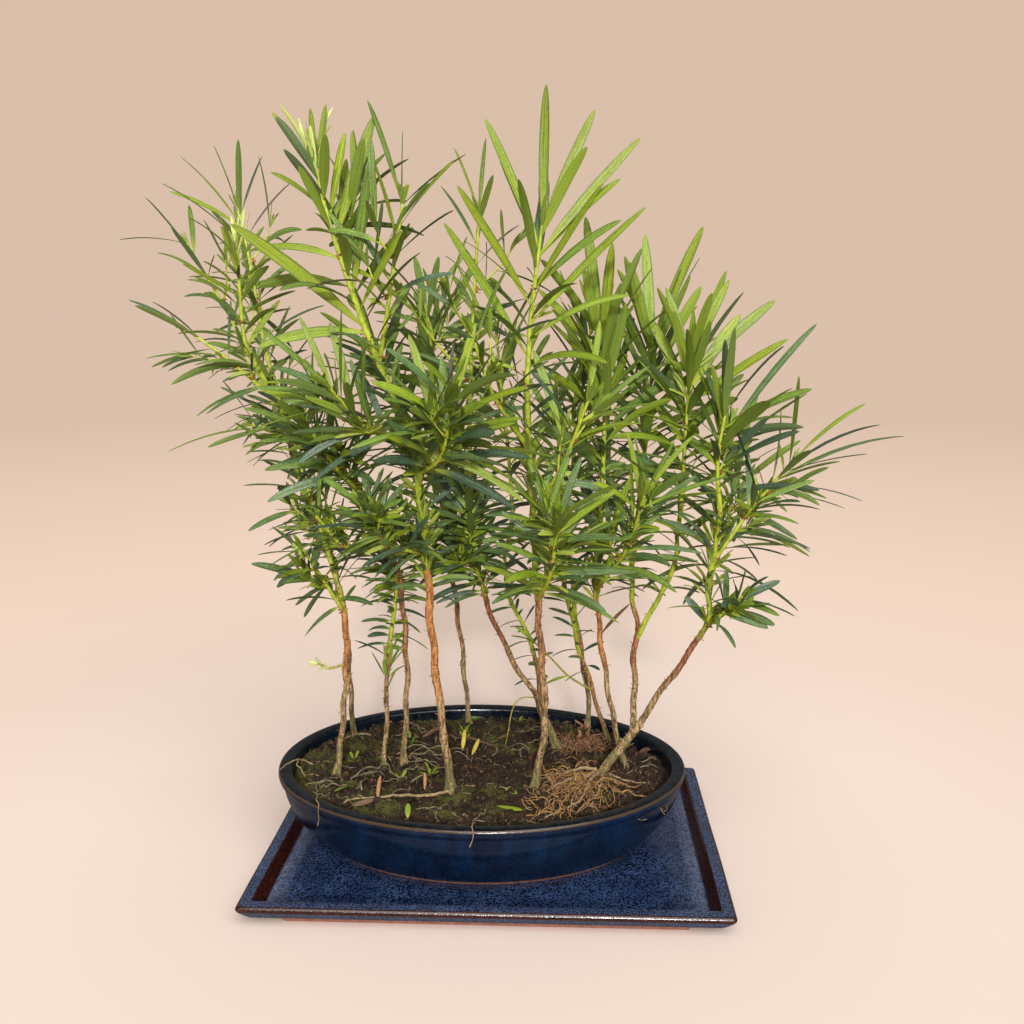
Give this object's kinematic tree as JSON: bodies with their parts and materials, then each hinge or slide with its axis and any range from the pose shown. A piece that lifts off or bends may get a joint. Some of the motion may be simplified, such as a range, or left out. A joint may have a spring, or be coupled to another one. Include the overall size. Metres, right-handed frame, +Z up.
{
  "type": "podocarpus bonsai",
  "caption": "Small wood of young podocarpus stems with long narrow leaves, growing in an oval glazed pot that stands on an oblong glazed drip tray.",
  "frame": {"origin": "middle of the tray's flat underside", "axes": "+Z up, +X along the tray's long side to the right seen from the front, +Y to the back"},
  "size_m": [0.4863, 0.2969, 0.4676],
  "materials": {
    "tray_glaze": "mottled blue glaze with dark specks, breaking to red-brown on its edges",
    "pot_glaze": "deep navy glaze with fine blue specks, near black on the rim",
    "soil": "dark damp soil with moss and fine roots",
    "bark": "thin rough bark, orange-brown above and grey-green near the soil",
    "foliage_fresh": "smooth bright yellow-green leaves",
    "foliage_mid": "smooth mid-green leaves with a paler midrib",
    "foliage_dark": "dark green older leaves with a greyish sheen"
  },
  "bodies": {
    "root": {"bough_07_left": "bark", "bough_07_right": "bark", "bough_12_inner": "bark", "bough_12_middle": "bark", "bough_12_outer": "bark", "bough_12_upright": "bark", "foliage_01_left": "foliage_dark", "foliage_01_top": "foliage_dark", "foliage_02_back": "foliage_mid", "foliage_02_left": "foliage_mid", "foliage_02_low": "foliage_dark", "foliage_02_top": "foliage_mid", "foliage_03_top": "foliage_dark", "foliage_04_back": "foliage_dark", "foliage_04_front": "foliage_mid", "foliage_04_left": "foliage_mid", "foliage_04_low": "foliage_dark", "foliage_04_top": "foliage_fresh", "foliage_05_left": "foliage_mid", "foliage_05_low": "foliage_dark", "foliage_05_right": "foliage_mid", "foliage_05_side": "foliage_mid", "foliage_05_top": "foliage_fresh", "foliage_06_back": "foliage_dark", "foliage_06_left": "foliage_mid", "foliage_06_top": "foliage_mid", "foliage_07_left": "foliage_mid", "foliage_07_low": "foliage_dark", "foliage_07_right": "foliage_mid", "foliage_08_left": "foliage_mid", "foliage_08_low": "foliage_mid", "foliage_08_right": "foliage_mid", "foliage_08_top": "foliage_fresh", "foliage_09_back": "foliage_dark", "foliage_09_top": "foliage_mid", "foliage_10_top": "foliage_mid", "foliage_11_front": "foliage_mid", "foliage_11_top": "foliage_fresh", "foliage_12_back": "foliage_mid", "foliage_12_low": "foliage_dark", "foliage_12_middle": "foliage_fresh", "foliage_12_outer": "foliage_mid", "foliage_12_right": "foliage_dark", "foliage_12_upright": "foliage_fresh", "pot": "pot_glaze", "soil": "soil", "stem_01": "bark", "stem_02": "bark", "stem_03": "bark", "stem_04": "bark", "stem_05": "bark", "stem_06": "bark", "stem_07": "bark", "stem_08": "bark", "stem_09": "bark", "stem_10": "bark", "stem_11": "bark", "stem_12": "bark", "tray": "tray_glaze"}
  },
  "joints": []
}
